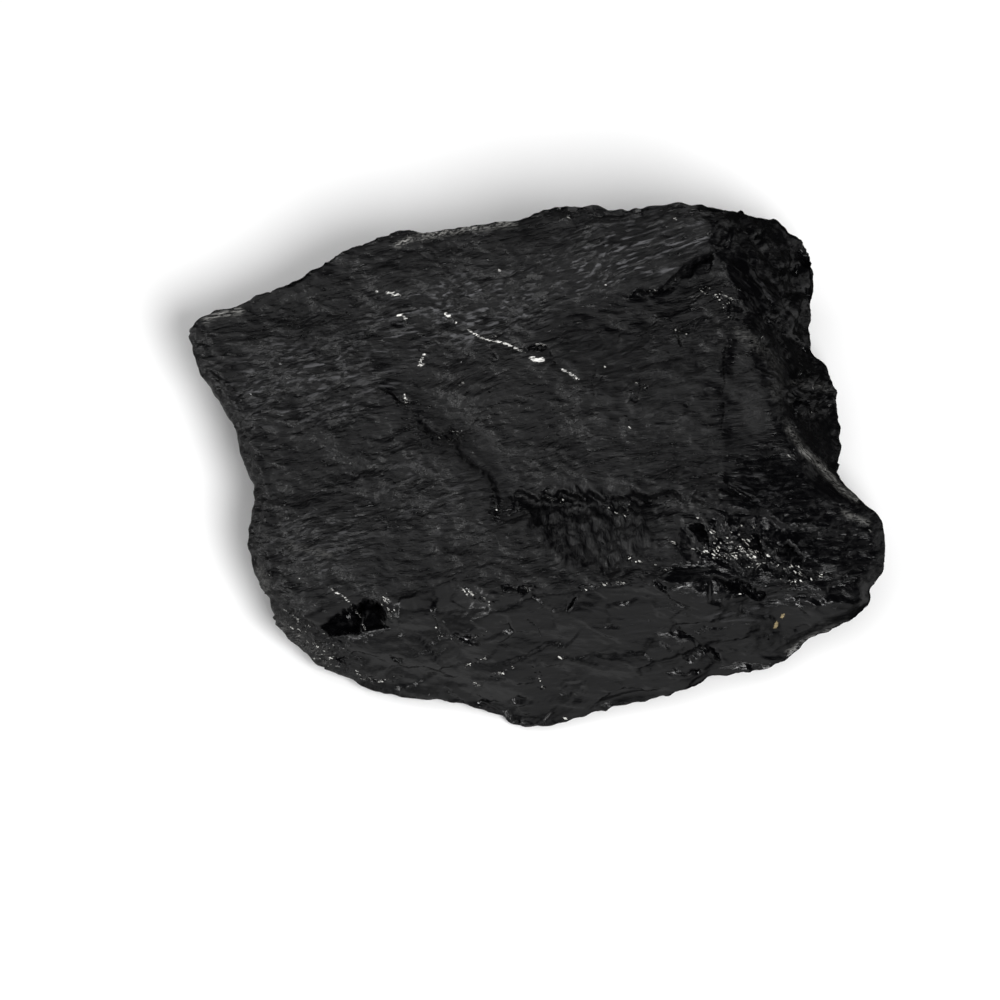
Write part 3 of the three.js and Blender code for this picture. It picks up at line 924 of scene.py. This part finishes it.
def schorlMaterial():
    # Broken schorl: black glassy tourmaline, fibrous along its length, so it shows streaks of grey sheen;
    # part of that sheen, and of its glints and lit edges, is painted into the colour.
    # A Mix node takes numbers at its sockets 2 and 3 and colours at 6 and 7, and gives them at 0 and at 2.
    material = bpy.data.materials.new("schorlBroken")
    material.use_nodes = True
    tree = material.node_tree
    shader = tree.nodes["Principled BSDF"]

    # Places in mm on the drawing plane, and what is stored in the mesh.
    lean = math.radians(drawing["sightDegrees"] - 90)
    laid = addNode(tree, "Mapping", {
        "Vector": addNode(tree, "TexCoord")["Object"], "Rotation": (lean, 0, 0),
        "Scale": [1 / mm] * 3})[0]
    drift = addNode(tree, "TexNoise", {
        "Vector": laid, "Scale": 1 / schorl["driftSize"], "Detail": 0})["Color"]
    drifted = addNode(tree, "VectorMath", [drift, [schorl["drift"]] * 3, laid], operation="MULTIPLY_ADD")[0]
    names = ("grain", "finish", "frayedSheen", "dullness", "crack", "quartz", "stain")
    stored = {name: addNode(tree, "Attribute", attribute_name=name) for name in names}
    grain = addNode(tree, "SeparateColor", [stored["grain"]["Color"]])
    finish = addNode(tree, "SeparateColor", [stored["finish"]["Color"]])
    glassy, glinting, dustyHighlit = [finish[c] for c in ("Red", "Green", "Blue")]

    def pattern(kind, width, stretch, turn, place=drifted, roll=schorl["roll"], **inputs):
        # A pattern that is as wide as given, in mm, and longer along its turn.
        turned = addNode(tree, "Mapping", {
            "Vector": place, "Rotation": (*roll, math.radians(turn)),
            "Scale": (width * stretch, width, width)}, vector_type="TEXTURE")[0]
        return addNode(tree, kind, {"Vector": turned, "Scale": 1, **inputs})

    def grained(kind, output, width, stretch, **inputs):
        # A pattern along the fibres, mixed over the four directions by the shares stored in the mesh.
        data, one, other, result = ("RGBA", 6, 7, 2) if output == "Color" else ("FLOAT", 2, 3, 0)
        total, *values = [pattern(kind, width, stretch, fibres[name]["turn"], **inputs)[output]
                          for name in ("level", "rising", "falling", "upright")]
        for value, share in zip(values, ("Red", "Green", "Blue")):
            inputs = {0: grain[share], one: total, other: value}
            total = addNode(tree, "Mix", inputs, data_type=data)[result]
        return total

    coarse = grained("TexNoise", "Fac", schorl["fibreWidth"], schorl["fibreStretch"], Detail=2, Roughness=0.5)
    fine = grained("TexNoise", "Fac", schorl["splinterWidth"], schorl["splinterStretch"],
                   Detail=2, Roughness=0.6)
    flake = grained("TexVoronoi", "Color", schorl["flakeWidth"], schorl["flakeStretch"], Randomness=1)
    tuft = pattern("TexNoise", schorl["tuftSize"], schorl["tuftStretch"], schorl["tuftTurn"],
                   Detail=2, Roughness=0.5)["Fac"]

    def weighed(value, source, limits):
        # The value, times how far the source has come between its limits.
        share = addNode(tree, "MapRange", [source, *limits])[0]
        return addNode(tree, "Math", [value, share], operation="MULTIPLY")[0]

    def stroke(name):
        # 1 inside the stored strokes, 0 outside them.
        softness, raggedness, middle = schorl[name + "Edge"]
        ragged = addNode(tree, "Math", [fine, middle], operation="SUBTRACT")[0]
        ragged = addNode(tree, "Math", [ragged, raggedness, stored[name]["Fac"]],
                         operation="MULTIPLY_ADD")[0]
        return addNode(tree, "MapRange", [ragged, -softness, softness, 1, 0])[0]

    chip = addNode(tree, "SeparateColor", [flake])["Red"]
    shade = addNode(tree, "MapRange", [chip, *schorl["chipShades"]])[0]
    fibre = weighed(shade, coarse, schorl["fibreShows"])
    fraySheen = weighed(stored["frayedSheen"]["Fac"], tuft, schorl["tuftShows"])
    cracked = stroke("crack")
    white = weighed(stroke("quartz"), coarse, schorl["quartzClouds"])

    # Small cleavage faces: each is a cell that tips its own way, and some carry painted glints, white specks
    # in the colour.
    cells = pattern("TexVoronoi", schorl["glintSize"], schorl["glintStretch"], schorl["glintTurn"],
                    laid, (0, 0))
    chance = addNode(tree, "TexWhiteNoise", {"Vector": cells["Position"]})["Color"]
    chance = addNode(tree, "SeparateColor", [chance])
    scatter = weighed(glinting, tuft, schorl["glintTufts"])
    scatter = weighed(scatter, fine, schorl["glintSplinters"])
    picked, glintSpeck = [
        addNode(tree, "Math", [chance[color], addNode(tree, "MapRange", [scatter, *schorl[share]])[0]],
                operation="LESS_THAN")[0]
        for color, share in (("Red", "glintShare"), ("Green", "glintSpeckShare"))]
    glintSpeck = weighed(glintSpeck, chance["Blue"], schorl["glintSpeckBright"])

    # Each colour lies over those before it.
    layers = [
        ("light", fibre),
        # Painted sheen: the frayed fibres, lighter where the faces catch the light.
        ("frayedSheen", addNode(tree, "Math", [fibre, fraySheen], operation="MULTIPLY")[0]),
        # Dust and painted highlights on rims that catch the light.
        ("dust", weighed(dustyHighlit, fine, schorl["dustHighlightShows"])),
        ("crack", cracked),
        ("quartz", white),
        ("stain", stroke("stain")),
        # Painted glints: white specks in the colour.
        ("mica", glintSpeck),
    ]
    color = linear(schorl["dark"])
    for name, share in layers:
        color = addNode(tree, "Mix", {0: share, 6: color, 7: linear(schorl[name])}, data_type="RGBA")[2]
    tree.links.new(color, shader.inputs["Base Color"])

    gloss = addNode(tree, "MapRange", [coarse, *schorlGloss["fibres"]])[0]
    gloss = addNode(tree, "Math", [fraySheen, schorlGloss["frayedSheen"], gloss], operation="MULTIPLY_ADD")[0]
    gloss = addNode(tree, "Mix", {0: glassy, 2: gloss, 3: schorlGloss["glassy"]}, data_type="FLOAT")[0]
    gloss = addNode(tree, "Math", [gloss, stored["dullness"]["Fac"]], operation="MULTIPLY")[0]
    for name, share in (("glint", picked), ("crack", cracked), ("quartz", white)):
        gloss = addNode(tree, "Mix", {0: share, 2: gloss, 3: schorlGloss[name]}, data_type="FLOAT")[0]
    tree.links.new(gloss, shader.inputs["Roughness"])
    shader.inputs["IOR"].default_value = schorl["ior"]

    # The fibres' relief. Then flakes, glints, frayed ends and cracks each tip the surface their own way.
    calm = addNode(tree, "MapRange", [glassy, 0, 1, 1, schorl["glassyCalm"]])[0]
    normal = addNode(tree, "Bump", {
        "Strength": calm, "Distance": schorl["fibreDepth"] * mm, "Height": coarse})[0]
    normal = addNode(tree, "Bump", {
        "Strength": calm, "Distance": schorl["splinterDepth"] * mm, "Height": fine, "Normal": normal})[0]
    leanings = []
    for random, share, most in ((flake, calm, schorl["flakeLean"]),
                                (cells["Color"], picked, schorl["glintLean"])):
        toward = addNode(tree, "VectorMath", [random, (0.5, 0.5, 0.5)], operation="SUBTRACT")[0]
        leanings.append((toward, addNode(tree, "Math", [share, most], operation="MULTIPLY")[0]))
    catching = addNode(tree, "Math", [chip, schorl["catchingChips"]], operation="LESS_THAN")[0]
    for share in (fraySheen, calm):
        catching = addNode(tree, "Math", [catching, share], operation="MULTIPLY")[0]
    leanings += [(schorl["catchingLean"], catching), (schorl["crackLean"], cracked)]
    for toward, amount in leanings:
        tipped = addNode(tree, "VectorMath", {0: toward, "Scale": amount}, operation="SCALE")[0]
        normal = addNode(tree, "VectorMath", [normal, tipped], operation="ADD")[0]
    normal = addNode(tree, "VectorMath", [normal], operation="NORMALIZE")[0]
    tree.links.new(normal, shader.inputs["Normal"])
    return material


def makeStone():
    mesh = stoneMesh()
    surface = Surface(mesh)
    surface.driftApart(stone["drift"], stone["driftSize"], stone["driftSeeds"])
    print("stone: subdivided,", len(mesh.vertices), "vertices")
    breakUp(surface)
    roughen(surface)
    markSurface(surface)
    print("stone: broken surface made")
    mesh.materials.append(schorlMaterial())
    mesh.set_sharp_from_angle(angle=math.radians(stone["sharpDegrees"]))
    stoneObject = bpy.data.objects.new("tourmaline", mesh)
    bpy.context.scene.collection.objects.link(stoneObject)
    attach(stoneObject, "root")
    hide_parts("tourmaline_chunk")
    print("stone: finished,", len(mesh.polygons), "faces")


studio = {
    "floor": "#f4f4f4",
    "floorSize": 6.0,  # metres
    "floorRoughness": 0.9,
    "lampDistance": 1.2,
    "key": {"from": (0.25, -0.6, 0.76), "size": 0.52, "power": 14.5},
    "fill": {"from": (0.06, -0.2, 1.0), "size": 1.8, "power": 6.5},
    # Lamps that only glint on glossy faces: where from, how wide, and their power.
    "glints": [
        {"from": (0.45, -0.6, 0.66), "size": 0.2, "power": 1.5},
        {"from": (0.55, -0.75, 0.35), "size": 0.12, "power": 0.2},
        {"from": (-0.65, -0.43, 0.61), "size": 0.12, "power": 0.45},
        {"from": (-0.7, -0.7, 0.1), "size": 0.12, "power": 0.45},
        {"from": (0.1, 0.95, 0.3), "size": 0.12, "power": 0.45},
    ],
    "skyLow": 0.013,
    # Bright boxes of the sky: direction, cosines at its edge and at its full brightness, and that brightness.
    "sky": [
        ((-0.45, 0.0, 0.89), 0.56, 0.95, 0.4),  # large box above
        ((-0.82, 0.2, 0.53), 0.98, 0.997, 4),  # small bright box on the left
        ((0.2, -0.96, -0.16), 0.6, 0.99, 0.36),  # white sweep in front
        ((-0.75, -0.45, 0.45), 0.7, 0.95, 0.2),  # between the two
        ((-0.85, 0.3, -0.43), 0.75, 0.95, 0.25),  # the table on the left
        ((-0.5, -0.4, -0.76), 0.6, 0.95, 0.35),  # the table in front
        ((-0.4, 0.8, -0.45), 0.8, 0.95, 0.2),  # the table behind
        ((0.93, 0.25, -0.1), 0.9, 0.98, 0.2),  # card on the right
        ((0.9, -0.1, -0.42), 0.88, 0.98, 0.3),  # the table on the right
    ],
}


def areaLight(name, light):
    data = bpy.data.lights.new(name, "AREA")
    data.shape = "DISK"
    data.size = light["size"]
    data.energy = light["power"]
    lamp = bpy.data.objects.new(name, data)
    lamp.location = Vector(light["from"]).normalized() * studio["lampDistance"]
    lamp.rotation_mode = "QUATERNION"
    lamp.rotation_quaternion = (-lamp.location).to_track_quat("-Z", "Y")
    lamp.visible_camera = False
    bpy.context.scene.collection.objects.link(lamp)
    return lamp


def makeLamps():
    # Two lamps light the table and the white seams, and the stone mirrors the sky and the small lamps.
    for name in ("key", "fill"):
        areaLight(name, studio[name]).visible_glossy = False
    for i, lamp in enumerate(studio["glints"]):
        areaLight(f"glint{i + 1}", lamp).visible_diffuse = False


def makeSky():
    # Soft boxes above, to the left and in front, and only dim ones behind and to the right.
    world = bpy.data.worlds.new("softSky")
    world.use_nodes = True
    tree = world.node_tree
    place = addNode(tree, "TexCoord")["Generated"]
    strength = studio["skyLow"]
    for toward, edge, full, bright in studio["sky"]:
        along = addNode(tree, "VectorMath", [place, Vector(toward).normalized()],
                        operation="DOT_PRODUCT")["Value"]
        glow = addNode(tree, "MapRange", [along, edge, full, 0, bright], interpolation_type="SMOOTHSTEP")[0]
        strength = addNode(tree, "Math", [glow, strength], operation="ADD")[0]
    tree.links.new(strength, tree.nodes["Background"].inputs["Strength"])
    tree.nodes["Background"].inputs["Color"].default_value = (1, 1, 1, 1)
    bpy.context.scene.world = world


def makeStudio():
    bpy.ops.mesh.primitive_plane_add(size=studio["floorSize"], location=(0, 0, 0))
    floor = bpy.context.object
    floor.name = "floor"
    # A board painted matt white, without sheen.
    material = bpy.data.materials.new("paleTable")
    material.use_nodes = True
    shader = material.node_tree.nodes["Principled BSDF"]
    shader.inputs["Base Color"].default_value = linear(studio["floor"])
    shader.inputs["Roughness"].default_value = studio["floorRoughness"]
    shader.inputs["Specular IOR Level"].default_value = 0
    floor.data.materials.append(material)
    floor.visible_glossy = False  # so that the stone mirrors the sky's boxes, not the table
    floor.visible_diffuse = False
    floor.visible_shadow = False
    makeLamps()
    makeSky()
    bpy.context.scene.view_settings.view_transform = "Standard"
    print("studio: ready")


makeCamera()
makeStone()
makeStudio()
